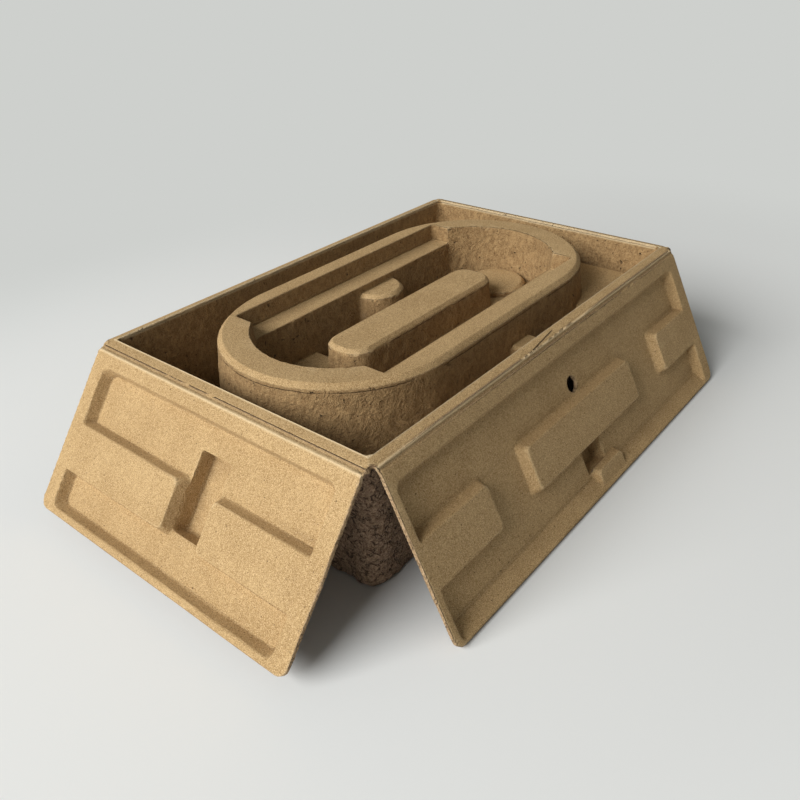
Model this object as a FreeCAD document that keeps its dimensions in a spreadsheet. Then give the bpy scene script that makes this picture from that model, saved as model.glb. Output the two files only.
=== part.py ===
import FreeCAD, Part
import math
import os
import Sketcher
from FreeCAD import Vector

# A moulded pulp insert: a deep tray with a rim, an oval island that is hollow from beneath, a rib and
# low bosses in the island's well, bridges in the moat around it, and four flaps that hang from scored
# folds on the rim. The tray stands on its base, the origin is at the middle of the base, +X is along
# the long side and +Z is up. Every length is in millimetres and every angle in degrees.

doc = FreeCAD.newDocument("pulp_insert")
dims = doc.addObject("Spreadsheet::Sheet", "dims")

SIZES = [
    ("wall", 3.0, "thickness of the moulded wall"),
    ("tray_height", 98.0, "base to the top of the rim"),
    ("pocket_length", 340.0, "inside length of the tray at the rim"),
    ("pocket_width", 211.0, "inside width of the tray at the rim"),
    ("pocket_corner", 5.0, "inside corner radius of the tray"),
    ("body_corner", 10.0, "outside corner radius of the tray"),
    ("wall_draft", 4.0, "lean of the tray's walls"),
    ("base_round", 5.0, "rounding of the tray's lower edge"),
    ("post_length", 17.0, "corner post left proud between the sunk wall panels"),
    ("panel_depth", 1.2, "how far the wall panels are sunk"),
    ("panel_top_gap", 22.0, "wall left plain between the rim and the panels"),
    ("rim_width", 8.0, "inside edge of the rim to the fold"),
    ("rim_slope", 13.0, "fall of the rim towards the fold"),
    ("rim_clip_x", 6.0, "corner cut off the rim along the long side"),
    ("rim_clip_y", 3.5, "corner cut off the rim along the short side"),
    ("fold_gap", 1.4, "half the width of the scored fold"),
    ("fold_web", 1.8, "thickness left in the scored fold"),
    ("island_length", 303.0, "length of the island's top"),
    ("island_width", 159.0, "width of the island's top"),
    ("island_rise", 3.0, "island's top above the rim"),
    ("island_draft", 5.0, "lean of the island's outer wall"),
    ("island_edge", 3.0, "easing of the island's top edge"),
    ("band_width", 20.0, "flat top of the island at its round ends"),
    ("ridge_width", 15.0, "top of the island along its straight sides"),
    ("ledge_width", 16.0, "step inside each straight side"),
    ("ledge_drop", 12.5, "step's depth under the island's top"),
    ("well_draft", 4.0, "lean of the well's walls"),
    ("rib_length", 157.0, "length of the middle rib's top"),
    ("rib_width", 33.0, "width of the middle rib's top"),
    ("rib_corner", 13.0, "corner radius of the middle rib"),
    ("rib_drop", 16.0, "rib's top under the island's top"),
    ("rib_edge", 2.5, "easing of the rib's top edge"),
    ("side_boss_radius", 20.5, "half-round boss on the well's side"),
    ("side_boss_place", 14.5, "half-round boss from the middle of the tray"),
    ("side_boss_drop", 17.5, "half-round boss's top under the island's top"),
    ("ledge_corner", 3.0, "corner radius of the steps inside the straight sides"),
    ("end_boss_radius", 23.0, "round boss at the well's end"),
    ("end_boss_place", 105.0, "round boss from the middle of the tray"),
    ("end_boss_drop", 32.0, "round boss's top under the island's top"),
    ("boss_edge", 2.5, "easing of the round bosses' top edges"),
    ("shelf_drop", 38.0, "long shelf beside the rib under the island's top"),
    ("shelf_start", 7.0, "long shelf's start before the middle of the tray"),
    ("step_drop", 43.0, "end step under the island's top"),
    ("step_edge", 54.0, "end step's edge from the middle of the tray"),
    ("bridge_length", 22.0, "bridge across the moat, along the tray"),
    ("bridge_place", 9.0, "bridge from the middle of the tray"),
    ("bridge_drop", 19.0, "bridge's top under the rim"),
    ("corner_start", 86.0, "corner platform's start from the middle of the tray"),
    ("corner_side", 36.0, "corner platform's side from the middle of the tray"),
    ("corner_drop", 24.0, "corner platform's top under the rim"),
    ("corner_gap", 6.0, "corner platform's end short of the pocket's end"),
    ("block_round", 3.0, "rounding of bridges, platforms, shelf and end step"),
    ("long_flap_length", 105.0, "fold to free edge of a long side's flap"),
    ("long_flap_splay", 26.8, "angle of a long side's flap from upright"),
    ("short_flap_length", 106.7, "fold to free edge of a short side's flap"),
    ("short_flap_splay", 37.4, "angle of a short side's flap from upright"),
    ("flap_corner", 6.5, "radius of the flaps' lower corners"),
    ("short_border", 11.0, "flat border at a short flap's ends"),
    ("long_border_near", 5.0, "flat border at a long flap's first end"),
    ("long_border_far", 12.0, "flat border at a long flap's second end"),
    ("flap_head", 10.0, "flat border of a flap under its fold"),
    ("relief_depth", 7.0, "sunk field of a flap under its border"),
    ("relief_draft", 22.0, "lean of the pads' and fields' sides"),
    ("relief_corner", 4.0, "corner radius of the pads"),
    ("field_corner", 6.0, "corner radius of the sunk fields"),
    ("long_foot", 1.5, "flat edge under the field of a long flap"),
    ("long_foot_slope", 38.0, "slope of a long flap's field down from its free edge"),
    ("long_pad_top", 43.5, "fold to the upper edge of a long flap's pads"),
    ("long_pad_bottom", 71.0, "fold to the lower edge of a long flap's pads"),
    ("long_mid_pad", 131.0, "length of a long flap's middle pad"),
    ("long_mid_place", 2.0, "middle pad from the middle of a long flap, towards its first end"),
    ("long_gap_near", 40.5, "middle pad to the first end's pad on a long flap"),
    ("long_gap_far", 45.5, "middle pad to the second end's pad on a long flap"),
    ("eye_radius", 5.2, "round hole in a long flap"),
    ("eye_place", 4.5, "round hole from the middle of a long flap"),
    ("eye_down", 34.0, "fold to the middle of the round hole"),
    ("slot_depth", 10.0, "deep slots under the field"),
    ("slot_draft", 8.0, "lean of the deep slots' sides"),
    ("long_slot_width", 23.0, "width of a long flap's slot"),
    ("long_slot_top", 73.0, "fold to the top of a long flap's slot"),
    ("long_slot_bottom", 91.0, "fold to the foot of a long flap's slot"),
    ("tongue_width", 31.0, "width of the tongue under a long flap's slot"),
    ("tongue_place", 8.0, "tongue from the middle of a long flap"),
    ("tongue_height", 13.5, "height of the tongue"),
    ("tongue_drop", 1.5, "tongue's top under the border"),
    ("short_foot", 4.5, "flat edge under the field of a short flap"),
    ("short_pad_top", 48.0, "fold to the upper edge of a short flap's pads"),
    ("short_pad_bottom", 77.5, "fold to the lower edge of a short flap's pads"),
    ("short_gap_left", 4.0, "end of one pad, left of the short flap's middle"),
    ("short_gap_right", 27.0, "end of the other pad, right of the short flap's middle"),
    ("short_slot_width", 27.0, "width of a short flap's slot at the border's level"),
    ("short_slot_place", 11.5, "middle of the slot, right of the short flap's middle"),
    ("short_slot_top", 27.0, "fold to the top of a short flap's slot"),
    ("short_slot_bottom", 77.5, "fold to the foot of a short flap's slot"),
]

for row, (alias, value, meaning) in enumerate(SIZES, start=1):
    dims.set("A%d" % row, meaning)
    dims.set("B%d" % row, str(value))
    dims.setAlias("B%d" % row, alias)
doc.recompute()

# Slack that lets a cutting tool pass cleanly through a face
OVERCUT = 1.0
PLAIN = "0"
UNDER = "dims.wall"

# Levels and lines that several pieces share
TOP = "(dims.tray_height + dims.island_rise)"
FLAT_SIDE = "(dims.island_width / 2 - dims.ridge_width - dims.ledge_width)"
RIM_X = "(dims.pocket_length + 2 * dims.rim_width)"
RIM_Y = "(dims.pocket_width + 2 * dims.rim_width)"
RIM_FALL = "(dims.rim_width * tan(dims.rim_slope * 1 deg))"
FOLD_LEVEL = "(dims.tray_height - %s - dims.wall / 2)" % RIM_FALL
LONG_FLAP = "(%s - 2 * dims.rim_clip_x)" % RIM_X
SHORT_FLAP = "(%s - 2 * dims.rim_clip_y)" % RIM_Y


def value(expression):
    """The number that an expression on the sheet gives."""
    result = dims.evalExpression(expression)
    return float(getattr(result, "Value", result))


def place(item, x="0", y="0", z="0", axis="0;0;1", angle="0"):
    """Bind an object's place to the sheet."""
    where = "placement(vector(%s; %s; %s); rotation(vector(%s); %s))" % (x, y, z, axis, angle)
    item.setExpression("Placement", where)
    return item


def driven(sketch, constraint, label, expression):
    """Add a constraint and bind it to the sheet."""
    index = sketch.addConstraint(constraint)
    sketch.renameConstraint(index, label)
    sketch.setExpression("Constraints." + label, expression)


def rounded_sketch(name, length, width, radius):
    """A rectangle with round corners about its own origin."""
    sketch = doc.addObject("Sketcher::SketchObject", name)
    a, b, r = value(length) / 2, value(width) / 2, value(radius)
    quarter = math.pi / 2
    centres = [(a - r, b - r), (r - a, b - r), (r - a, r - b), (a - r, r - b)]
    arcs = []
    for turn, (x, y) in enumerate(centres):
        circle = Part.Circle(Vector(x, y, 0), Vector(0, 0, 1), r)
        arc = Part.ArcOfCircle(circle, turn * quarter, (turn + 1) * quarter)
        arcs.append(sketch.addGeometry(arc, False))
    ends = [((a - r, b), (r - a, b)), ((-a, b - r), (-a, r - b)),
            ((r - a, -b), (a - r, -b)), ((a, r - b), (a, b - r))]
    lines = [sketch.addGeometry(Part.LineSegment(Vector(*p, 0), Vector(*q, 0)), False) for p, q in ends]
    for turn in range(4):
        sketch.addConstraint(Sketcher.Constraint("Tangent", arcs[turn], 2, lines[turn], 1))
        sketch.addConstraint(Sketcher.Constraint("Tangent", lines[turn], 2, arcs[(turn + 1) % 4], 1))
    for turn in range(3):
        sketch.addConstraint(Sketcher.Constraint("Equal", arcs[turn], arcs[turn + 1]))
    sketch.addConstraint(Sketcher.Constraint("Horizontal", lines[0]))
    sketch.addConstraint(Sketcher.Constraint("Symmetric", arcs[0], 3, arcs[2], 3, -1, 1))
    driven(sketch, Sketcher.Constraint("Radius", arcs[0], r), "corner", radius)
    driven(sketch, Sketcher.Constraint("Distance", lines[1], 1, lines[3], 2 * a), "length", length)
    driven(sketch, Sketcher.Constraint("Distance", lines[0], 1, lines[2], 2 * b), "width", width)
    return sketch


def oval_sketch(name, length, width):
    """Two straight sides joined by half circles, about its own origin."""
    sketch = doc.addObject("Sketcher::SketchObject", name)
    r = value(width) / 2
    c = value(length) / 2 - r
    right = Part.ArcOfCircle(Part.Circle(Vector(c, 0, 0), Vector(0, 0, 1), r), -math.pi / 2, math.pi / 2)
    left = Part.ArcOfCircle(Part.Circle(Vector(-c, 0, 0), Vector(0, 0, 1), r), math.pi / 2, 3 * math.pi / 2)
    right = sketch.addGeometry(right, False)
    left = sketch.addGeometry(left, False)
    top = sketch.addGeometry(Part.LineSegment(Vector(c, r, 0), Vector(-c, r, 0)), False)
    foot = sketch.addGeometry(Part.LineSegment(Vector(-c, -r, 0), Vector(c, -r, 0)), False)
    sketch.addConstraint(Sketcher.Constraint("Tangent", right, 2, top, 1))
    sketch.addConstraint(Sketcher.Constraint("Tangent", top, 2, left, 1))
    sketch.addConstraint(Sketcher.Constraint("Tangent", left, 2, foot, 1))
    sketch.addConstraint(Sketcher.Constraint("Tangent", foot, 2, right, 1))
    sketch.addConstraint(Sketcher.Constraint("Horizontal", top))
    sketch.addConstraint(Sketcher.Constraint("Symmetric", right, 3, left, 3, -1, 1))
    driven(sketch, Sketcher.Constraint("Radius", right, r), "half_width", "(%s) / 2" % width)
    driven(sketch, Sketcher.Constraint("DistanceX", left, 3, right, 3, 2 * c), "straight",
           "(%s) - (%s)" % (length, width))
    return sketch


def flap_sketch(name, width, length):
    """A flap's outline: square at the fold, round at the two free corners; the fold is on the X axis."""
    sketch = doc.addObject("Sketcher::SketchObject", name)
    w, n = value(width) / 2, value(length)
    g, r = value("dims.fold_gap"), value("dims.flap_corner")
    turn = math.pi / 2
    head = sketch.addGeometry(Part.LineSegment(Vector(w, -g, 0), Vector(-w, -g, 0)), False)
    left = sketch.addGeometry(Part.LineSegment(Vector(-w, -g, 0), Vector(-w, r - n, 0)), False)
    circle = Part.Circle(Vector(r - w, r - n, 0), Vector(0, 0, 1), r)
    left_arc = sketch.addGeometry(Part.ArcOfCircle(circle, 2 * turn, 3 * turn), False)
    foot = sketch.addGeometry(Part.LineSegment(Vector(r - w, -n, 0), Vector(w - r, -n, 0)), False)
    circle = Part.Circle(Vector(w - r, r - n, 0), Vector(0, 0, 1), r)
    right_arc = sketch.addGeometry(Part.ArcOfCircle(circle, 3 * turn, 4 * turn), False)
    right = sketch.addGeometry(Part.LineSegment(Vector(w, r - n, 0), Vector(w, -g, 0)), False)
    sketch.addConstraint(Sketcher.Constraint("Coincident", head, 2, left, 1))
    sketch.addConstraint(Sketcher.Constraint("Tangent", left, 2, left_arc, 1))
    sketch.addConstraint(Sketcher.Constraint("Tangent", left_arc, 2, foot, 1))
    sketch.addConstraint(Sketcher.Constraint("Tangent", foot, 2, right_arc, 1))
    sketch.addConstraint(Sketcher.Constraint("Tangent", right_arc, 2, right, 1))
    sketch.addConstraint(Sketcher.Constraint("Coincident", right, 2, head, 1))
    sketch.addConstraint(Sketcher.Constraint("Vertical", left))
    sketch.addConstraint(Sketcher.Constraint("Horizontal", foot))
    sketch.addConstraint(Sketcher.Constraint("Equal", left_arc, right_arc))
    sketch.addConstraint(Sketcher.Constraint("Symmetric", head, 1, head, 2, -2))
    driven(sketch, Sketcher.Constraint("Radius", left_arc, r), "corner", "dims.flap_corner")
    driven(sketch, Sketcher.Constraint("Distance", head, 2 * w), "width", width)
    driven(sketch, Sketcher.Constraint("Distance", head, 2, foot, n - g), "drop",
           "%s - dims.fold_gap" % length)
    driven(sketch, Sketcher.Constraint("Distance", -1, 1, head, g), "gap", "dims.fold_gap")
    return sketch


def sunk(name, sketch, depth, lean="0"):
    """Extrude a sketch downwards; a positive lean widens it on the way down."""
    block = doc.addObject("Part::Extrusion", name)
    block.Base = sketch
    block.DirMode = "Custom"
    block.Dir = Vector(0, 0, -1)
    block.Solid = True
    block.setExpression("LengthFwd", depth)
    block.setExpression("TaperAngle", lean)
    return block


def bevelled(name, base, size):
    """Bevel the edges in a block's top plane."""
    doc.recompute()
    level = base.Shape.BoundBox.ZMax
    item = doc.addObject("Part::Chamfer", name)
    item.Base = base
    item.Edges = [(i, value(size), value(size)) for i, edge in enumerate(base.Shape.Edges, start=1)
                  if all(abs(point.z - level) < 1e-4 for point in edge.discretize(3))]
    return item


def spread(depth, lean):
    """How far a side that leans by an angle moves out over a depth."""
    return "(%s) * tan(%s * 1 deg)" % (depth, lean)


def frustum(name, length, width, top, depth, grow, x="0", y="0"):
    """A square-cornered block, given its top face, its depth and how far each side moves out below it."""
    item = doc.addObject("Part::Wedge", name)
    # The wedge's own Y axis points up through the block
    for axis, size in (("X", length), ("Z", width)):
        item.setExpression(axis + "min", "0 - (%s) / 2 - %s" % (size, grow))
        item.setExpression(axis + "max", "(%s) / 2 + %s" % (size, grow))
        item.setExpression(axis + "2min", "0 - (%s) / 2" % size)
        item.setExpression(axis + "2max", "(%s) / 2" % size)
    item.setExpression("Ymin", "0 - (%s)" % depth)
    item.setExpression("Ymax", "0")
    return place(item, x, y, top, "1;0;0", "90")


def round_corners(base, side_radius, top_radius=None, foot_radius=None):
    """Round a square-cornered block's four side edges and, where a radius is given, its top or foot edges."""
    doc.recompute()
    bounds = base.Shape.BoundBox
    chosen = []
    for i, edge in enumerate(base.Shape.Edges, start=1):
        first, last = (vertex.Point.z for vertex in edge.Vertexes)
        radius = side_radius
        if abs(first - last) < 1e-4:
            radius = top_radius if abs(first - bounds.ZMax) < 1e-4 else foot_radius
        if radius:
            chosen.append((i, value(radius), value(radius)))
    item = doc.addObject("Part::Fillet", base.Name + "_round")
    item.Base = base
    item.Edges = chosen
    return item


def box(name, length, width, height, x, y, z):
    """A box that is bound to the sheet, given its middle in X and Y and its foot in Z."""
    item = doc.addObject("Part::Box", name)
    item.setExpression("Length", length)
    item.setExpression("Width", width)
    item.setExpression("Height", height)
    return place(item, "%s - (%s) / 2" % (x, length), "%s - (%s) / 2" % (y, width), z)


def fuse(name, *items):
    item = doc.addObject("Part::MultiFuse", name)
    item.Shapes = list(items)
    return item


def common(name, *items):
    item = doc.addObject("Part::MultiCommon", name)
    item.Shapes = list(items)
    return item


def cut(name, base, tool):
    item = doc.addObject("Part::Cut", name)
    item.Base = base
    item.Tool = tool
    return item


def shell_block(name, inset, foot, corner, foot_round=None):
    """The tray's outer shape, moved in by an inset, down to a given height."""
    depth = "dims.tray_height - (%s)" % foot
    shape = frustum(name, "dims.pocket_length + 2 * dims.wall - 2 * (%s)" % inset,
                    "dims.pocket_width + 2 * dims.wall - 2 * (%s)" % inset, "dims.tray_height", depth,
                    "-1 * " + spread(depth, "dims.wall_draft"))
    return round_corners(shape, corner, foot_radius=foot_round)


def panels(name, length, width):
    """What lies outside the sunk wall panels, over one stretch of the walls."""
    reach = box(name + "_reach", length, width, "dims.tray_height - dims.panel_top_gap", "0", "0", "0")
    return cut(name, reach, shell_block(name + "_core", "dims.panel_depth", "0", "dims.body_corner"))


def roof(name, lower):
    """The block under the rim's sloping top, or under a lower copy of it."""
    level = "dims.tray_height - (%s)" % lower
    slope = frustum(name + "_slope", "dims.pocket_length", "dims.pocket_width", level, RIM_FALL,
                    "dims.rim_width")
    foot = box(name + "_foot", RIM_X, RIM_Y, "%s - %s" % (level, RIM_FALL), "0", "0", "0")
    return fuse(name, slope, foot)


def rim(outside):
    """The rim, which falls towards the fold and has clipped corners, and the thin strips at its edges."""
    plate = cut("rim_plate", outside, roof("rim_under", "dims.wall"))
    inner_x = RIM_X + " - 2 * dims.fold_gap"
    inner_y = RIM_Y + " - 2 * dims.fold_gap"
    reach_x = box("rim_reach_long", LONG_FLAP, inner_y, "dims.tray_height", "0", "0", "0")
    reach_y = box("rim_reach_short", inner_x, SHORT_FLAP, "dims.tray_height", "0", "0", "0")
    level = FOLD_LEVEL + " - dims.fold_web / 2"
    web_x = box("rim_web_long", LONG_FLAP, RIM_Y, "dims.fold_web", "0", "0", level)
    web_y = box("rim_web_short", RIM_X, SHORT_FLAP, "dims.fold_web", "0", "0", level)
    return fuse("rim", common("rim_trimmed", plate, fuse("rim_reach", reach_x, reach_y)), web_x, web_y)


def raised(tag, name, sketch, x, y, top, lean, edge, inset):
    """A drafted block that stands on the base plane; under a skin it is lower and its edges are sharp."""
    place(sketch, x, y, "%s - %s" % (top, inset))
    if inset == PLAIN:
        return bevelled(tag + name + "_bevelled", sunk(tag + name, sketch, top, lean), edge)
    return sunk(tag + name, sketch, "%s - %s + %s" % (top, inset, OVERCUT), lean)


def block(tag, name, length, width, x, y, top, lean, inset):
    """A drafted block on the base plane: rounded outside, with sharp edges under the skin."""
    depth = top if inset == PLAIN else "%s - %s + %s" % (top, inset, OVERCUT)
    shape = frustum(tag + name, length, width, "%s - %s" % (top, inset), depth, spread(depth, lean), x, y)
    return round_corners(shape, "dims.block_round", "dims.block_round") if inset == PLAIN else shape


def boss(tag, name, radius, x, y, top, inset):
    """A round drafted boss that stands on the base plane; the hollow under its skin has upright sides."""
    if inset == UNDER:
        hollow = doc.addObject("Part::Cylinder", tag + name)
        hollow.setExpression("Height", "%s - %s + %s" % (top, inset, OVERCUT))
        hollow.setExpression("Radius", "%s - %s" % (radius, inset))
        return place(hollow, x, y, "0 - %s" % OVERCUT)
    cone = doc.addObject("Part::Cone", tag + name)
    cone.setExpression("Height", top)
    cone.setExpression("Radius2", radius)
    cone.setExpression("Radius1", "%s + %s" % (radius, spread(top, "dims.island_draft")))
    place(cone, x, y)
    return bevelled(tag + name + "_bevelled", cone, "dims.boss_edge")


def moat_blocks(tag, inset):
    """The bridges across the moat and the platforms in its two far corners."""
    blocks = []
    # Both kinds run on into the island and into the tray's wall, which trim them
    span = "(dims.pocket_width / 2 - dims.island_width / 2 + dims.band_width)"
    for side, word in ((-1, "front"), (1, "back")):
        blocks.append(block(tag, "bridge_" + word, "dims.bridge_length - 2 * %s" % inset, span,
                            "dims.bridge_place", "%d * (dims.pocket_width + dims.island_width) / 4" % side,
                            "dims.tray_height - dims.bridge_drop", "dims.island_draft", inset))
        start = "(dims.corner_start + %s)" % inset
        length = "(dims.pocket_length / 2 - dims.corner_gap - %s - %s)" % (inset, start)
        width = "(dims.pocket_width / 2 + dims.band_width - dims.corner_side - %s)" % inset
        blocks.append(block(tag, "platform_" + word, length, width, "%s + %s / 2" % (start, length),
                            "%d * (dims.corner_side + %s + %s / 2)" % (side, inset, width),
                            "dims.tray_height - dims.corner_drop", "dims.island_draft", inset))
    return blocks


def well(tag, inset):
    """The hollow inside the island: a deep well with flat sides and a wider step along them."""
    grow = "2 * %s" % inset
    depth = "%s - dims.wall" % TOP if inset == PLAIN else "%s + 2 * %s" % (TOP, OVERCUT)
    oval = oval_sketch(tag + "well_outline", "dims.island_length - 2 * dims.band_width + " + grow,
                       "dims.island_width - 2 * dims.band_width + " + grow)
    place(oval, z=TOP)
    oval_hole = sunk(tag + "well_oval", oval, depth, "-dims.well_draft")
    strip_hole = frustum(tag + "well_strip", "2 * dims.island_length", "2 * %s + %s" % (FLAT_SIDE, grow), TOP,
                         depth, "-1 * " + spread(depth, "dims.well_draft"))
    deep = common(tag + "well_deep", oval_hole, strip_hole)
    # The step ends where the round end of the well meets its flat side
    end_radius = "(dims.island_width / 2 - dims.band_width)"
    ledge_length = ("dims.island_length - dims.island_width + 2 * sqrt(%s ^ 2 - %s ^ 2) + %s"
                    % (end_radius, FLAT_SIDE, grow))
    step_depth = "dims.ledge_drop + " + inset
    step = frustum(tag + "ledge", ledge_length, "dims.island_width - 2 * dims.ridge_width + " + grow, TOP,
                   step_depth, "-1 * " + spread(step_depth, "dims.well_draft"))
    if inset == PLAIN:
        step = round_corners(step, "dims.ledge_corner")
    return fuse(tag + "well", deep, step)


def well_floor(tag, inset):
    """What stands in the well: the rib, two bosses, a shelf and an end step."""
    shrink = "2 * %s" % inset
    rib_outline = rounded_sketch(tag + "rib_outline", "dims.rib_length - " + shrink,
                                 "dims.rib_width - " + shrink, "dims.rib_corner - " + inset)
    rib = raised(tag, "rib", rib_outline, "0", "0", TOP + " - dims.rib_drop", "dims.island_draft",
                 "dims.rib_edge", inset)
    side = boss(tag, "side_boss", "dims.side_boss_radius", "dims.side_boss_place", FLAT_SIDE,
                TOP + " - dims.side_boss_drop", inset)
    end = boss(tag, "end_boss", "dims.end_boss_radius", "dims.end_boss_place", "0",
               TOP + " - dims.end_boss_drop", inset)
    # The shelf and the end step run on under the island's wall as far as its middle line
    within = oval_sketch(tag + "floor_limit_outline", "dims.island_length - dims.band_width - " + shrink,
                         "dims.island_width - dims.band_width - " + shrink)
    place(within, z=TOP)
    within = sunk(tag + "floor_limit", within, "%s + 2 * %s" % (TOP, OVERCUT))
    shelf_length = "(dims.island_length / 2 + dims.shelf_start - %s)" % inset
    shelf_width = "(dims.island_width / 2 - %s)" % inset
    shelf = block(tag, "shelf", shelf_length, shelf_width,
                  "%s / 2 - dims.shelf_start + %s" % (shelf_length, inset),
                  "0 - %s / 2 - %s" % (shelf_width, inset), TOP + " - dims.shelf_drop", "dims.well_draft",
                  inset)
    step_length = "(dims.island_length / 2 - dims.step_edge - %s)" % inset
    step = block(tag, "step", step_length, "dims.island_width",
                 "0 - dims.step_edge - %s - %s / 2" % (inset, step_length), "0", TOP + " - dims.step_drop",
                 "dims.well_draft", inset)
    return [rib, side, end, common(tag + "shelf_trimmed", shelf, within),
            common(tag + "step_trimmed", step, within)]


def core(tag, inset, limit):
    """Everything that rises from the tray's base, as a solid under one skin of the moulding."""
    oval = oval_sketch(tag + "island_outline", "dims.island_length - 2 * %s" % inset,
                       "dims.island_width - 2 * %s" % inset)
    island = raised(tag, "island", oval, "0", "0", TOP, "dims.island_draft", "dims.island_edge", inset)
    moat = common(tag + "moat_blocks", fuse(tag + "moat_blocks_raw", *moat_blocks(tag, inset)), limit)
    hollowed = cut(tag + "hollowed", fuse(tag + "standing", island, moat), well(tag, inset))
    return fuse(tag + "core", hollowed, *well_floor(tag, inset))


def tray():
    """The tray with its rim and with everything in it, hollow from beneath."""
    outer = shell_block("shell", PLAIN, "0", "dims.body_corner", "dims.base_round")
    half_x = "dims.pocket_length - 2 * dims.post_length"
    half_y = "dims.pocket_width - 2 * dims.post_length"
    sunk_long = cut("shell_long_panels", outer, panels("long_panels", half_x, "2 * dims.pocket_width"))
    sunk_both = cut("shell_panels", sunk_long, panels("short_panels", "2 * dims.pocket_length", half_y))
    outside = roof("rim_top", PLAIN)
    with_rim = fuse("shell_with_rim", common("shell_roofed", sunk_both, outside), rim(outside))
    pocket = shell_block("pocket", UNDER, "dims.wall", "dims.pocket_corner")
    limit = shell_block("shell_limit", "dims.wall / 2", "0", "dims.body_corner")
    upper = fuse("tray_filled", cut("open_tray", with_rim, pocket), core("upper_", PLAIN, limit))
    under_limit = shell_block("under_limit", UNDER, "0 - %s" % OVERCUT, "dims.pocket_corner")
    return cut("tray", upper, core("under_", UNDER, under_limit))


def pressed(name, length, height, corner, x, down, top, depth, lean, inset):
    """A hollow or pad of a flap, given at its top face: round corners outside, square ones behind."""
    shape = frustum(name, length, height, top, depth, spread(depth, lean), x, "0 - (%s)" % down)
    return round_corners(shape, corner) if inset == PLAIN else shape


def field_pad(name, length, height, x, down, drop, inset):
    """A pad that stays at the border's level in a flap's sunk field; down is its middle from the fold."""
    shrink = "2 * " + inset
    return pressed(name, "%s - %s" % (length, shrink), "%s - %s" % (height, shrink), "dims.relief_corner", x,
                   down, "dims.wall / 2 - %s - %s" % (drop, inset),
                   "dims.relief_depth + dims.slot_depth + 2 * dims.wall", "dims.relief_draft", inset)


def foot_ramp(name, width, length, foot, inset):
    """The sloping foot of a long flap's field, from the floor up to the free edge."""
    depth = "(dims.relief_depth + dims.slot_depth)"
    back = "(2 * dims.wall)"
    ramp = doc.addObject("Part::Box", name)
    ramp.setExpression("Length", width)
    ramp.setExpression("Width", "4 * " + depth)
    ramp.setExpression("Height", depth)
    slope = "dims.long_foot_slope * 1 deg"
    below = "(%s + %s)" % (depth, inset)
    y = "%s - %s - %s * sin(%s) - %s * cos(%s)" % (foot, length, below, slope, back, slope)
    z = "dims.wall / 2 - %s * cos(%s) + %s * sin(%s)" % (below, slope, back, slope)
    return place(ramp, "0 - %s / 2" % width, y, z, "1;0;0", "-dims.long_foot_slope")


def flap_relief(tag, width, length, borders, foot, pads, ramp, slot, inset):
    """The hollow that is pressed into a flap's outer face: a field with pads left in it, and a slot."""
    near, far = borders
    field_length = "%s - %s - %s" % (width, near, far)
    field_height = "%s - dims.flap_head - %s" % (length, foot)
    grow = "2 * " + inset
    depth = "(dims.relief_depth + %s)" % inset
    field = pressed(tag + "field", "%s + %s" % (field_length, grow), "%s + %s" % (field_height, grow),
                    "dims.field_corner", "(%s - %s) / 2" % (near, far),
                    "dims.flap_head + (%s) / 2" % field_height, "dims.wall / 2", depth,
                    "-dims.relief_draft", inset)
    blocks = [field_pad(tag + "pad_%d" % n, *pad, inset) for n, pad in enumerate(pads, start=1)]
    if ramp:
        blocks.append(foot_ramp(tag + "foot_ramp", width, length, foot, inset))
    field = cut(tag + "field_with_pads", field, fuse(tag + "pads", *blocks))
    across, x, top, bottom, level = slot
    depth = "(dims.relief_depth - %s + dims.slot_depth + %s)" % (level, inset)
    deep = frustum(tag + "slot", "%s + %s" % (across, grow), "%s - %s + %s" % (bottom, top, grow),
                   "dims.wall / 2 - " + level, depth, "-1 * " + spread(depth, "dims.slot_draft"), x,
                   "0 - (%s + %s) / 2" % (top, bottom))
    return fuse(tag + "relief", field, deep)


def flap(tag, width, length, relief, holes):
    """A flap in its own frame: X along the fold, the free edge towards -Y, the outer face up."""
    deep = "(dims.relief_depth + dims.slot_depth + 3 * dims.wall)"
    outline = flap_sketch(tag + "outline", width, length)
    place(outline, z="dims.wall / 2")
    front_part = cut(tag + "front_part", sunk(tag + "solid", outline, deep), 
                     flap_relief(tag + "upper_", width, length, *relief, PLAIN))
    behind = box(tag + "behind", width + " + 2 * dims.wall", length + " + 2 * dims.wall", deep, "0",
                 "0 - %s / 2" % length, "0 - dims.wall / 2 - " + deep)
    bare = cut(tag + "behind_skin", behind, flap_relief(tag + "under_", width, length, *relief, UNDER))
    sheet = cut(tag + "sheet", front_part, fuse(tag + "removed", bare, *holes) if holes else bare)
    hinge = doc.addObject("Part::Cylinder", tag + "hinge")
    hinge.setExpression("Radius", "dims.fold_web / 2")
    hinge.setExpression("Height", width)
    place(hinge, "0 - %s / 2" % width, "0", "0", "0;1;0", "90")
    web = box(tag + "web", width, "2 * dims.fold_gap", "dims.fold_web", "0", "0 - dims.fold_gap",
              "0 - dims.fold_web / 2")
    return fuse(tag + "flap", sheet, hinge, web)


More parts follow.
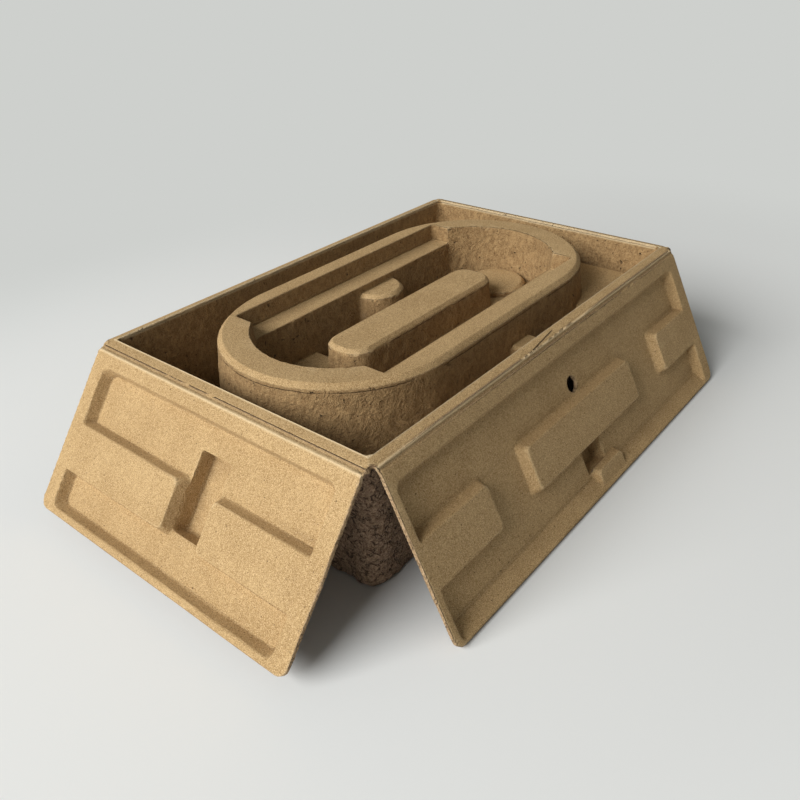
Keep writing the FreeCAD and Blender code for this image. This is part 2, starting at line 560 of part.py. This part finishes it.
def long_flap():
    """A long side's flap: three pads in a sunk field, a round hole, a slot and a tongue under it."""
    height = "(dims.long_pad_bottom - dims.long_pad_top)"
    down = "(dims.long_pad_bottom + dims.long_pad_top) / 2"
    near = "(dims.long_mid_place + dims.long_mid_pad / 2 + dims.long_gap_near)"
    far = "(dims.long_mid_pad / 2 - dims.long_mid_place + dims.long_gap_far)"
    near_length = "(%s / 2 - %s)" % (LONG_FLAP, near)
    far_length = "(%s / 2 - %s)" % (LONG_FLAP, far)
    pads = [("dims.long_mid_pad", height, "0 - dims.long_mid_place", down, "0"),
            (near_length, height, "0 - %s - %s / 2" % (near, near_length), down, "0"),
            (far_length, height, "%s + %s / 2" % (far, far_length), down, "0"),
            ("dims.tongue_width", "dims.tongue_height", "dims.tongue_place",
             "dims.long_flap_length - dims.tongue_height / 2", "dims.tongue_drop")]
    eye = doc.addObject("Part::Cylinder", "eye")
    eye.setExpression("Radius", "dims.eye_radius")
    eye.setExpression("Height", "4 * (dims.relief_depth + dims.wall)")
    place(eye, "dims.eye_place", "0 - dims.eye_down", "0 - 2 * (dims.relief_depth + dims.wall)")
    slot = ("dims.long_slot_width", "0", "dims.long_slot_top", "dims.long_slot_bottom", "dims.relief_depth")
    borders = ("dims.long_border_near", "dims.long_border_far")
    item = flap("long_", LONG_FLAP, "dims.long_flap_length",
                (borders, "dims.long_foot", pads, True, slot), [eye])
    where = "placement(vector(0; 0 - %s / 2; %s); rotation(0; 0; %s))"
    item.setExpression("Placement", where % (RIM_Y, FOLD_LEVEL, "90 - dims.long_flap_splay"))
    return item


def short_flap():
    """A short side's flap: two pads in a sunk field with a deep slot between them."""
    height = "(dims.short_pad_bottom - dims.short_pad_top)"
    down = "(dims.short_pad_bottom + dims.short_pad_top) / 2"
    left = "(%s / 2 - dims.short_gap_left)" % SHORT_FLAP
    right = "(%s / 2 - dims.short_gap_right)" % SHORT_FLAP
    pads = [(left, height, "0 - dims.short_gap_left - %s / 2" % left, down, "0"),
            (right, height, "dims.short_gap_right + %s / 2" % right, down, "0")]
    slot = ("dims.short_slot_width", "dims.short_slot_place", "dims.short_slot_top", "dims.short_slot_bottom",
            "0")
    borders = ("dims.short_border", "dims.short_border")
    item = flap("short_", SHORT_FLAP, "dims.short_flap_length",
                (borders, "dims.short_foot", pads, False, slot), [])
    where = "placement(vector(0 - %s / 2; 0; %s); rotation(-90; 0; %s))"
    item.setExpression("Placement", where % (RIM_X, FOLD_LEVEL, "90 - dims.short_flap_splay"))
    return item


def opposite(name, source, normal):
    """The same flap on the other side of the tray."""
    item = doc.addObject("Part::Mirroring", name)
    item.Source = source
    item.Base = Vector(0, 0, 0)
    item.Normal = normal
    return item


front = long_flap()
left = short_flap()
insert = fuse("pulp_insert", tray(), front, left, opposite("long_flap_back", front, Vector(0, 1, 0)),
              opposite("short_flap_right", left, Vector(1, 0, 0)))
insert.Label = "pulp_insert"
doc.recompute()

for item in doc.Objects:
    if "Invalid" in item.State or "Error" in item.State:
        raise RuntimeError("%s did not build: %s" % (item.Name, item.State))
if insert.Shape.isNull() or not insert.Shape.isValid():
    raise RuntimeError("the insert's shape is not valid")
print(len(insert.Shape.Solids), "solid", round(insert.Shape.Volume / 1000, 1), "cm3", insert.Shape.BoundBox)

os.makedirs("parts", exist_ok=True)
insert.Shape.exportStep("parts/pulp_insert.step")
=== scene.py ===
import math

import bpy
import bmesh
import numpy as np
from mathutils import Matrix, Vector
from mathutils.bvhtree import BVHTree


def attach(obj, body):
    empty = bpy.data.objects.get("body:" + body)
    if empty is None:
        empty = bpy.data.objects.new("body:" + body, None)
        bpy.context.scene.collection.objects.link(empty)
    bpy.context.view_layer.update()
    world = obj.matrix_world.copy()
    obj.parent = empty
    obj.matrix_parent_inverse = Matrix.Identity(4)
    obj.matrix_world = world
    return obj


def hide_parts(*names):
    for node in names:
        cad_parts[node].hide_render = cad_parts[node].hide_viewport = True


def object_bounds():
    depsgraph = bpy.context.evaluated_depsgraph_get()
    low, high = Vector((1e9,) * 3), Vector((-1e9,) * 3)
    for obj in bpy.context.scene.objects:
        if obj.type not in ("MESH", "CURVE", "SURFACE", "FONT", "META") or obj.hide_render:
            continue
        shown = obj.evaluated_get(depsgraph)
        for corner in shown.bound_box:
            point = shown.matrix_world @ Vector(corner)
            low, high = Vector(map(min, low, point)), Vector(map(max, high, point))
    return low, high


# A moulded pulp insert on a pale floor, dressed over its solid frame. Lengths are in metres.
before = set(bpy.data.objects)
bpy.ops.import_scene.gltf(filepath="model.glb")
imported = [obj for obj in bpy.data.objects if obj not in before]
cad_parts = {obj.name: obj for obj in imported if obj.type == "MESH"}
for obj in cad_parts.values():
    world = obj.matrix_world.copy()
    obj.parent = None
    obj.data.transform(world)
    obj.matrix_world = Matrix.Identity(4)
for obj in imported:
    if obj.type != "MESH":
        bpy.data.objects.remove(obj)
cad_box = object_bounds()
scene = bpy.context.scene
scene.view_settings.view_transform = "Standard"

MM = 0.001
SEED = 11

# Sizes of the moulding that the finish follows, in millimetres from the middle of the tray's base
RIM_LEVEL = 98.0
RIM_WIDTH = 8.0
ISLAND_LEVEL = 101.0
ISLAND_HALF_WIDTH = 79.5
ISLAND_STRAIGHT = 72.0
RIB_REACH = 40.0
RIB_SEAM_LEVEL = 81.0
FOLD_X = 178.0
FOLD_Y = 113.5
SHORT_SPLAY = math.radians(37.4)
LONG_SPLAY = math.radians(26.8)

# Marks of the folds, in millimetres past the fold in plan: a groove given painted shade and a ridge
# given a painted highlight
SHORT_GROOVE = 0.2
SHORT_RIDGE = 1.7
LONG_GROOVE = 0.9
LONG_RIDGE = -0.7

# The split in the rim, from end to end in plan
SPLIT_START = (-30, -112.6)
SPLIT_END = (2, -108.8)

# The skin: its cell, the most triangles it keeps, and how far it strays from the mould in millimetres
SKIN_CELL = 1.0 * MM
MOST_TRIANGLES = 196000
WALL_PUCKER = 0.16
BACK_PUCKER = 0.34
CUT_WAVE = 0.22
CORNER_TEAR = 0.4


def srgb(red, green, blue):
    """A colour written as it shows, 0 to 255, as the linear colour a socket takes."""
    def linear(v):
        v /= 255
        return v / 12.92 if v <= 0.04045 else ((v + 0.055) / 1.055) ** 2.4
    return (linear(red), linear(green), linear(blue), 1.0)


BACKDROP = srgb(206, 208, 205)


class Value:
    """A shader socket that takes part in Python arithmetic."""

    def __init__(self, paint, socket):
        self.paint = paint
        self.socket = socket

    def math(self, operation, *others):
        values = dict(enumerate((self,) + others))
        return self.paint.node("ShaderNodeMath", {"operation": operation}, values)

    def __add__(self, other):
        return self.math("ADD", other)

    def __sub__(self, other):
        return self.math("SUBTRACT", other)

    def __rsub__(self, other):
        return self.paint.node("ShaderNodeMath", {"operation": "SUBTRACT"}, {0: other, 1: self})

    def __mul__(self, other):
        return self.math("MULTIPLY", other)

    def __abs__(self):
        return self.math("ABSOLUTE")

    def most(self, other):
        return self.math("MAXIMUM", other)

    def root(self):
        return self.math("SQRT")

    def span(self, low, high):
        """0 at low, 1 at high, and smooth between; low may be the larger."""
        settings = {"interpolation_type": "SMOOTHSTEP"}
        values = {"Value": self, "From Min": low, "From Max": high}
        return self.paint.node("ShaderNodeMapRange", settings, values)

    def near(self, centre, width):
        """1 at the centre, 0 a width away."""
        return abs(self - centre).span(width, 0)


class Paint:
    """A node material, built from expressions."""

    def __init__(self, name):
        self.material = bpy.data.materials.new(name)
        self.material.use_nodes = True
        self.tree = self.material.node_tree
        self.tree.nodes.clear()

    def node(self, kind, settings=None, values=None, output=0):
        made = self.tree.nodes.new(kind)
        for name, setting in (settings or {}).items():
            setattr(made, name, setting)
        for name, value in (values or {}).items():
            if isinstance(value, Value):
                self.tree.links.new(value.socket, made.inputs[name])
            else:
                made.inputs[name].default_value = value
        return Value(self, made.outputs[output])

    def place(self):
        """Object coordinates in millimetres."""
        here = self.node("ShaderNodeTexCoord", output="Object")
        return self.node("ShaderNodeVectorMath", {"operation": "SCALE"}, {0: here, "Scale": 1000.0})

    def parts(self, vector):
        return [self.node("ShaderNodeSeparateXYZ", None, {0: vector}, output=name) for name in "XYZ"]

    def stretched(self, vector, x, y, z):
        return self.node("ShaderNodeVectorMath", {"operation": "MULTIPLY"}, {0: vector, 1: (x, y, z)})

    def moved(self, vector, amount):
        return self.node("ShaderNodeVectorMath", {"operation": "ADD"}, {0: vector, 1: (amount,) * 3})

    def attribute(self, name):
        return self.node("ShaderNodeAttribute", {"attribute_name": name}, output="Fac")

    def noise(self, vector, size, detail, rough):
        """Soft noise from 0 to 1 with features of about a given size."""
        values = {"Vector": vector, "Scale": 1.0 / size, "Detail": detail, "Roughness": rough}
        return self.node("ShaderNodeTexNoise", {"noise_dimensions": "3D"}, values)

    def cracks(self, vector, size):
        """Distance from the border between cells of about a given size, in cells."""
        return self.node("ShaderNodeTexVoronoi", {"feature": "DISTANCE_TO_EDGE"},
                         {"Vector": vector, "Scale": 1.0 / size})

    def bent(self, vector, size, amount):
        """Coordinates pushed about by noise, so that a pattern on them wanders."""
        push = self.node("ShaderNodeTexNoise", {"noise_dimensions": "3D"},
                         {"Vector": vector, "Scale": 1.0 / size, "Detail": 2.0}, output="Color")
        push = self.node("ShaderNodeVectorMath", {"operation": "SCALE"}, {0: push, "Scale": amount})
        return self.node("ShaderNodeVectorMath", {"operation": "ADD"}, {0: vector, 1: push})

    def mix(self, factor, first, second):
        """The first colour where the factor is 0, the second where it is 1."""
        values = {0: factor, 6: first, 7: second}
        return self.node("ShaderNodeMix", {"data_type": "RGBA"}, values, output=2)

    def streak(self, across, along, start, end, width):
        """1 on a straight mark between two points of the plan, 0 a width away and at its ends."""
        run = Vector(end) - Vector(start)
        way = run.normalized()
        right, ahead = across - start[0], along - start[1]
        done = right * way.x + ahead * way.y
        aside = abs(right * way.y - ahead * way.x)
        return aside.span(width, 0) * done.span(0, 3) * done.span(run.length, run.length - 3)

    def bump(self, height, distance):
        values = {"Height": height, "Distance": distance, "Strength": 1.0}
        return self.node("ShaderNodeBump", None, values)

    def finish(self, shader):
        out = self.tree.nodes.new("ShaderNodeOutputMaterial")
        self.tree.links.new(shader.socket, out.inputs["Surface"])
        return self.material

    def surface(self, colour, roughness, others=None):
        values = {"Base Color": colour, "Roughness": roughness}
        values.update(others or {})
        return self.node("ShaderNodeBsdfPrincipled", None, values)


def camera():
    """The photograph's viewpoint, above the near corner."""
    yaw, pitch, roll = (math.radians(a) for a in (40.22, 31.72, -2.12))
    level = math.cos(pitch)
    ahead = Vector((math.cos(yaw) * level, math.sin(yaw) * level, -math.sin(pitch)))
    right = ahead.cross(Vector((0, 0, 1))).normalized()
    up = right.cross(ahead)
    turned_right = math.cos(roll) * right + math.sin(roll) * up
    turned_up = math.cos(roll) * up - math.sin(roll) * right
    data = bpy.data.cameras.new("camera")
    # The focal length was found in pixels of a picture 800 wide
    data.sensor_width = 36.0
    data.lens = data.sensor_width * 783.42 / 800
    data.clip_end = 50.0
    item = bpy.data.objects.new("camera", data)
    turn = Matrix((turned_right, turned_up, -ahead)).transposed().to_4x4()
    item.matrix_world = Matrix.Translation((-0.39373, -0.31637, 0.31926)) @ turn
    scene.collection.objects.link(item)
    scene.camera = item


def lamp(name, towards, distance, size, level, colour):
    """A soft square light from a direction; a level of 1 shows a white face turned to it as white."""
    data = bpy.data.lights.new(name, "AREA")
    data.shape = "RECTANGLE"
    data.size, data.size_y = size
    data.energy = level * math.pi ** 2 * distance ** 2
    data.color = colour
    item = bpy.data.objects.new(name, data)
    way = Vector(towards).normalized()
    item.location = way * distance + Vector((0, 0, 0.06))
    item.rotation_euler = way.to_track_quat("Z", "Y").to_euler()
    scene.collection.objects.link(item)


def seen_rays(tree):
    """1 for the rays that show a background: from the camera, off gloss and through clear matter."""
    path = tree.nodes.new("ShaderNodeLightPath")
    total = path.outputs["Is Camera Ray"]
    for name in ("Is Glossy Ray", "Is Transmission Ray"):
        either = tree.nodes.new("ShaderNodeMath")
        either.operation = "MAXIMUM"
        tree.links.new(total, either.inputs[0])
        tree.links.new(path.outputs[name], either.inputs[1])
        total = either.outputs[0]
    return total


def room():
    """Light from all round, and what the camera sees beyond the floor."""
    world = bpy.data.worlds.new("room")
    scene.world = world
    world.use_nodes = True
    tree = world.node_tree
    ambient = tree.nodes["Background"]
    ambient.inputs["Color"].default_value = (1.0, 0.98, 0.89, 1)
    ambient.inputs["Strength"].default_value = 0.17
    backdrop = tree.nodes.new("ShaderNodeBackground")
    backdrop.inputs["Color"].default_value = BACKDROP
    choose = tree.nodes.new("ShaderNodeMixShader")
    tree.links.new(seen_rays(tree), choose.inputs[0])
    tree.links.new(ambient.outputs[0], choose.inputs[1])
    tree.links.new(backdrop.outputs[0], choose.inputs[2])
    tree.links.new(choose.outputs[0], tree.nodes["World Output"].inputs["Surface"])


def floor():
    """A pale floor that keeps the object's shadow and turns evenly into the backdrop."""
    mesh = bpy.data.meshes.new("floor")
    work = bmesh.new()
    bmesh.ops.create_grid(work, x_segments=1, y_segments=1, size=9.0)
    work.to_mesh(mesh)
    work.free()
    item = bpy.data.objects.new("floor", mesh)
    scene.collection.objects.link(item)
    paint = Paint("pale_floor")
    across, along, _ = paint.parts(paint.place())
    # Distance from the part, less along it, and distance along the line of sight
    away = (across * across * 0.55 + along * along).root()
    depth = across * 0.76 + along * 0.65
    # Past the shadow it is painted: brightest in front and greyer behind, a painted shade of the light
    # falling off, and as the backdrop far off
    grey = depth.span(-420, 380).most(away.span(900, 5000))
    tone = paint.mix(grey, srgb(229, 231, 229), BACKDROP)
    lit = paint.surface(srgb(231, 234, 236), 0.8)
    glow = paint.node("ShaderNodeEmission", None, {"Color": tone, "Strength": 1.0})
    factor = away.span(270, 530) * Value(paint, seen_rays(paint.tree))
    shader = paint.node("ShaderNodeMixShader", None, {0: factor, 1: lit, 2: glow})
    mesh.materials.append(paint.finish(shader))


def studio():
    """A soft key from the near end of the tray, low enough to rake the long side."""
    lamp("key", (-0.82, 0.19, 0.55), 4.5, (3.6, 2.2), 1.40, (1.0, 0.985, 0.95))
    room()
    floor()


def pulp():
    """Brown moulded fibre: pressed smooth outside, puckered on steep walls, coarse and dark behind."""
    paint = Paint("moulded_pulp")
    here = paint.place()
    across, along, up = paint.parts(here)
    back = paint.attribute("back")
    wall = paint.attribute("wall")
    edge = paint.attribute("edge")

    # Fibre grain at three scales
    fine = paint.noise(here, 0.52, 1.0, 0.8)
    grain = paint.noise(paint.moved(here, 40.0), 1.7, 3.0, 0.65)
    cloud = paint.noise(paint.moved(here, 90.0), 26.0, 4.0, 0.6)
    # Puckered skin on the steep walls, with a little drag upwards
    wander = paint.bent(here, 8.0, 6.0)
    drag = paint.noise(paint.stretched(wander, 1.0, 1.0, 0.62), 3.4, 4.0, 0.66)
    wrinkle = paint.noise(paint.moved(wander, 17.0), 2.4, 3.0, 0.7)
    # Coarse felt with short splits on the back, and a few splits elsewhere on the walls
    cells = paint.cracks(wander, 3.4)
    gate = paint.noise(paint.moved(here, 61.0), 4.6, 1.0, 0.6)
    where = (gate.span(0.46, 0.60) * back).most(gate.span(0.70, 0.74) * wall)
    split = cells.span(0.13, 0.0) * where
    felt = paint.noise(paint.moved(wander, 33.0), 1.5, 3.0, 0.74)

    # The line where two skins meet, just under the top edges of the island and rib: a shallow groove
    # darkened with painted shade
    waver = paint.noise(here, 14.0, 3.0, 0.6) * 1.6 - 0.8
    level = up + waver
    out = (abs(across) - ISLAND_STRAIGHT).most(0.0)
    reach = (out * out + along * along).root()
    patchy = paint.noise(paint.moved(here, 5.0), 21.0, 2.0, 0.5).span(0.38, 0.5)
    outer = reach.span(ISLAND_HALF_WIDTH - 4.0, ISLAND_HALF_WIDTH - 1.0)
    seam = level.near(ISLAND_LEVEL - 5.0, 0.45) * outer
    inner = reach.span(RIB_REACH + 6.0, RIB_REACH)
    seam = seam.most(level.near(RIB_SEAM_LEVEL, 0.45) * inner)
    seam = seam * patchy * wall.span(0.2, 0.6)

    # The folds: a pinched groove darkened with painted shade, a ridge beside it given a painted
    # highlight, and a painted highlight along the rim's inner edge
    past_x = abs(across) - FOLD_X + waver * 0.3
    past_y = abs(along) - FOLD_Y + waver * 0.3
    high = up.span(84.0, 88.0) * (1.0 - back)
    groove = past_x.near(SHORT_GROOVE, 1.1).most(past_y.near(LONG_GROOVE, 1.0)) * high
    ridge = past_x.near(SHORT_RIDGE, 1.2).most(past_y.near(LONG_RIDGE, 1.2)) * high
    lip = past_x.most(past_y).near(-RIM_WIDTH + 0.2, 1.2) * high * up.span(94.0, 96.0)

    crack = paint.streak(across, along + waver, SPLIT_START, SPLIT_END, 0.7)
    crack = crack * up.span(94.0, 95.0) * (1.0 - back)

    # Colour
    colour = paint.mix(cloud.span(0.32, 0.68), srgb(170, 141, 98), srgb(182, 153, 109))
    colour = paint.mix(grain.span(0.56, 0.36) * 0.34, colour, srgb(128, 99, 62))
    colour = paint.mix(fine.span(0.48, 0.66) * 0.68, colour, srgb(218, 189, 147))
    colour = paint.mix(fine.span(0.46, 0.30) * 0.68, colour, srgb(118, 90, 56))
    walls = paint.mix(drag.span(0.33, 0.68), srgb(124, 96, 63), srgb(162, 132, 92))
    walls = paint.mix(fine.span(0.48, 0.64) * 0.45, walls, srgb(188, 158, 115))
    # The wrinkles' creases darkened with painted shade
    walls = paint.mix(wrinkle.span(0.43, 0.31) * 0.65, walls, srgb(88, 65, 42))
    colour = paint.mix(wall * 0.85, colour, walls)
    dark = paint.mix(felt.span(0.34, 0.66), srgb(108, 84, 68), srgb(190, 160, 134))
    dark = paint.mix(fine.span(0.5, 0.66) * 0.4, dark, srgb(208, 178, 142))
    colour = paint.mix(back * 0.94, colour, dark)
    colour = paint.mix(split * 0.72, colour, srgb(44, 32, 23))
    speck = paint.noise(paint.moved(here, 210.0), 1.3, 0.0, 0.4).span(0.80, 0.83)
    colour = paint.mix(speck * 0.7, colour, srgb(72, 52, 34))
    # Convex edges lighter: a painted highlight, with some lighter worn fibre
    colour = paint.mix(edge.span(0.2, 0.7) * (1.0 - back) * 0.28, colour, srgb(224, 200, 160))
    # Concave creases darker: painted shade
    colour = paint.mix(edge.span(-0.12, -0.6) * 0.3, colour, srgb(88, 65, 40))
    # Painted shade in the seam line and the fold groove; the rim's split is darkened as a real crack
    darker = (seam * 0.7).most(groove * 0.36).most(crack * 0.85)
    colour = paint.mix(darker, colour, srgb(70, 51, 31))
    # Painted highlight on the fold ridge and along the rim's inner edge
    colour = paint.mix((ridge * 0.46).most(lip * 0.6), colour, srgb(240, 220, 182))

    # Relief, in millimetres
    height = fine * 0.22 + grain * 0.3 + cloud * 0.5
    height = height + wall * (drag + wrinkle * 1.25)
    height = height + back * (felt * 2.2 + wrinkle * 1.3) - split * 1.4
    height = height - seam * 0.55 - groove * 0.45 + ridge * 0.45 - crack * 0.7
    normal = paint.bump(height, MM)
    rough = fine * 0.1 + 0.86
    return paint.finish(paint.surface(colour, rough, {"Normal": normal, "Specular IOR Level": 0.22}))


def merged(source):
    """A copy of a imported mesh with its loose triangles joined."""
    mesh = source.data.copy()
    work = bmesh.new()
    work.from_mesh(mesh)
    bmesh.ops.remove_doubles(work, verts=work.verts, dist=1e-6)
    work.to_mesh(mesh)
    work.free()
    return mesh


def evaluated(piece):
    """The plain mesh that a piece's modifiers make; the modifiers are removed."""
    bpy.context.view_layer.update()
    graph = bpy.context.evaluated_depsgraph_get()
    result = bpy.data.meshes.new_from_object(piece.evaluated_get(graph))
    piece.modifiers.clear()
    piece.data = result
    return result


def points_of(mesh):
    """The places of a mesh's vertices, in millimetres."""
    values = np.empty(len(mesh.vertices) * 3, dtype=np.float32)
    mesh.vertices.foreach_get("co", values)
    values *= 1000.0
    return values.reshape(-1, 3)


def normals_of(mesh):
    values = np.empty(len(mesh.vertices) * 3, dtype=np.float32)
    mesh.vertex_normals.foreach_get("vector", values)
    return values.reshape(-1, 3)


def ripple(points, longest, shortest, waves, seed):
    """Smooth noise of about unit size from a sum of waves in random directions."""
    random = np.random.default_rng(seed)
    total = np.zeros(len(points), dtype=np.float32)
    for _ in range(waves):
        way = random.normal(size=3)
        way *= 2 * math.pi / (np.linalg.norm(way) * random.uniform(shortest, longest))
        total += np.sin(points @ way.astype(np.float32) + random.uniform(0, 2 * math.pi))
    return total * math.sqrt(2 / waves)


def sides(points, normals):
    """How far each point is on the back, on a steep wall of the tray, and on the cut edge of a flap."""
    x, y, z = points.T
    lean_x, lean_y, lean_z = normals.T
    past_x = np.abs(x) - FOLD_X + (z - RIM_LEVEL) * 0.05
    past_y = np.abs(y) - FOLD_Y + (z - RIM_LEVEL) * 0.05
    short = (past_x > 0) & (past_x * math.cos(LONG_SPLAY) > past_y * math.cos(SHORT_SPLAY))
    long = (past_y > 0) & ~short
    # The tray's outer skin looks up, a flap's looks away from the tray and up
    facing = lean_z.copy()
    on_short = lean_x * np.sign(x) * math.cos(SHORT_SPLAY) + lean_z * math.sin(SHORT_SPLAY)
    on_long = lean_y * np.sign(y) * math.cos(LONG_SPLAY) + lean_z * math.sin(LONG_SPLAY)
    facing[short] = on_short[short]
    facing[long] = on_long[long]
    back = np.clip(0.5 - facing * 12.0, 0, 1)
    wall = np.clip(1.25 - facing * 1.9, 0, 1)
    wall[short | long] *= 0.25
    cut = np.clip(1 - np.abs(facing) * 1.6, 0, 1) * (short | long)
    return back, wall * (1 - back), cut


def curvature(mesh, points, normals):
    """How sharply each vertex stands out (above 0) or in (below 0), smoothed a little."""
    edges = np.empty(len(mesh.edges) * 2, dtype=np.int32)
    mesh.edges.foreach_get("vertices", edges)
    first, last = edges.reshape(-1, 2).T
    count = len(points)
    number = np.maximum(np.bincount(first, minlength=count) + np.bincount(last, minlength=count), 1)
    step = points[last] - points[first]
    length = np.maximum(np.linalg.norm(step, axis=1), 0.05)
    lean_first = -(step * normals[first]).sum(1) / length
    lean_last = (step * normals[last]).sum(1) / length
    bend = (np.bincount(first, lean_first, count) + np.bincount(last, lean_last, count)) / number
    spread = np.bincount(first, bend[last], count) + np.bincount(last, bend[first], count)
    return 0.6 * bend + 0.4 * spread / number


def keep_inside(mesh, points):
    """Moves a mesh's vertices to these points in millimetres, held within the solid's own box."""
    low, high = (np.array(corner) * 1000.0 for corner in cad_box)
    points = np.clip(points, low + 0.01, high - 0.01)
    mesh.vertices.foreach_set("co", (points * MM).astype(np.float32).ravel())
    mesh.update()


def store(mesh, name, values):
    layer = mesh.attributes.new(name, "FLOAT", "POINT")
    layer.data.foreach_set("value", values.astype(np.float32))


def unevenness(points, normals):
    """How far the dried fibre stands off the mould, in millimetres: walls pucker, the back most."""
    back, wall, cut = sides(points, normals)
    x, y, z = np.abs(points).T
    # The tray below its rim, and the fold's open ends at the rim's corners
    body = np.clip((FOLD_X - 6 - x) / 6, 0, 1) * np.clip((FOLD_Y - 6 - y) / 6, 0, 1)
    body = body * np.clip((RIM_LEVEL - 6 - z) / 6, 0, 1)
    torn = np.clip(1 - np.hypot(x - FOLD_X + 2, y - FOLD_Y + 2) / RIM_WIDTH, 0, 1)
    torn = torn * (z > RIM_LEVEL - 12)
    amount = ripple(points, 17.0, 6.0, 26, SEED) * (WALL_PUCKER * wall + BACK_PUCKER * back) * body
    amount += ripple(points, 60.0, 12.0, 20, SEED + 1) * CUT_WAVE * cut
    return amount + ripple(points, 7.0, 3.0, 16, SEED + 2) * CORNER_TEAR * torn


def insert():
    """The moulding, given soft edges, uneven walls and a finish that follows its two skins."""
    skin = merged(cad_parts["pulp_insert"])
    corners = [vertex.co[:] for vertex in skin.vertices]
    exact = BVHTree.FromPolygons(corners, [face.vertices[:] for face in skin.polygons])
    model = bpy.data.objects.new("model", skin)
    scene.collection.objects.link(model)
    piece = bpy.data.objects.new("pulp_moulding", skin.copy())
    scene.collection.objects.link(piece)
    remesh = piece.modifiers.new("skin", "REMESH")
    remesh.mode = "VOXEL"
    remesh.voxel_size = SKIN_CELL
    cling = piece.modifiers.new("cling", "SHRINKWRAP")
    cling.target = model
    soften = piece.modifiers.new("soften", "SMOOTH")
    soften.factor = 0.5
    soften.iterations = 2
    mesh = evaluated(piece)
    bpy.data.objects.remove(model)

    points = points_of(mesh)
    normals = normals_of(mesh)
    points += normals * unevenness(points, normals)[:, None]
    keep_inside(mesh, points)
    thin = piece.modifiers.new("thin", "DECIMATE")
    thin.ratio = min(1.0, MOST_TRIANGLES / (2 * len(mesh.polygons)))
    mesh = evaluated(piece)
    keep_inside(mesh, points_of(mesh))
    mesh.shade_smooth()
    flatten = piece.modifiers.new("flatten", "WEIGHTED_NORMAL")
    flatten.weight = 95
    mesh = evaluated(piece)

    points = points_of(mesh)
    true = [exact.find_nearest(point)[1][:] for point in points * MM]
    back, wall, _ = sides(points, np.array(true, dtype=np.float32))
    store(mesh, "back", back)
    store(mesh, "wall", wall)
    store(mesh, "edge", np.clip(curvature(mesh, points, normals_of(mesh)) * 4.0, -1, 1))
    mesh.materials.clear()
    mesh.materials.append(pulp())
    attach(piece, "root")
    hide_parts("pulp_insert")


camera()
studio()
insert()
